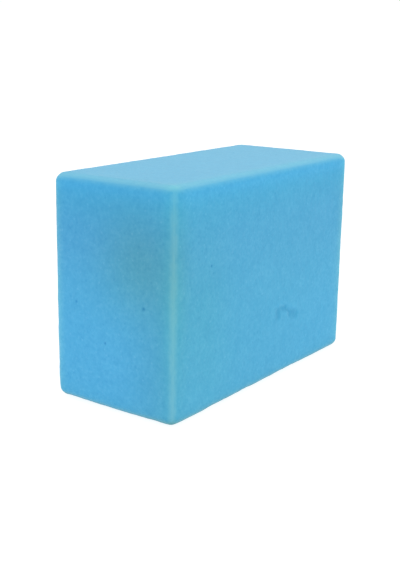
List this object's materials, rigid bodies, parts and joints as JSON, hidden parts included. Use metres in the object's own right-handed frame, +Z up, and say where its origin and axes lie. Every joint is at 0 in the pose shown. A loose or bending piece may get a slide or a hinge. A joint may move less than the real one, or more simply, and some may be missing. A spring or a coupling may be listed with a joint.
{
  "type": "sanding block",
  "caption": "Rectangular hand sanding block with softly rounded edges: a resilient foam core with an abrasive coat on every face.",
  "frame": {"origin": "middle of the underside, where the block stands on one of its two long narrow sides", "axes": "+Z up, +X along the block's length, +Y through its depth from the front broad face to the back one"},
  "size_m": [0.1, 0.045, 0.069],
  "materials": {
    "foam": "matte",
    "abrasive_coat": "matte"
  },
  "bodies": {
    "root": {"foam_core": "foam", "front_abrasive_coat": "abrasive_coat", "back_abrasive_coat": "abrasive_coat", "left_abrasive_coat": "abrasive_coat", "right_abrasive_coat": "abrasive_coat", "top_abrasive_coat": "abrasive_coat", "bottom_abrasive_coat": "abrasive_coat"}
  },
  "joints": []
}
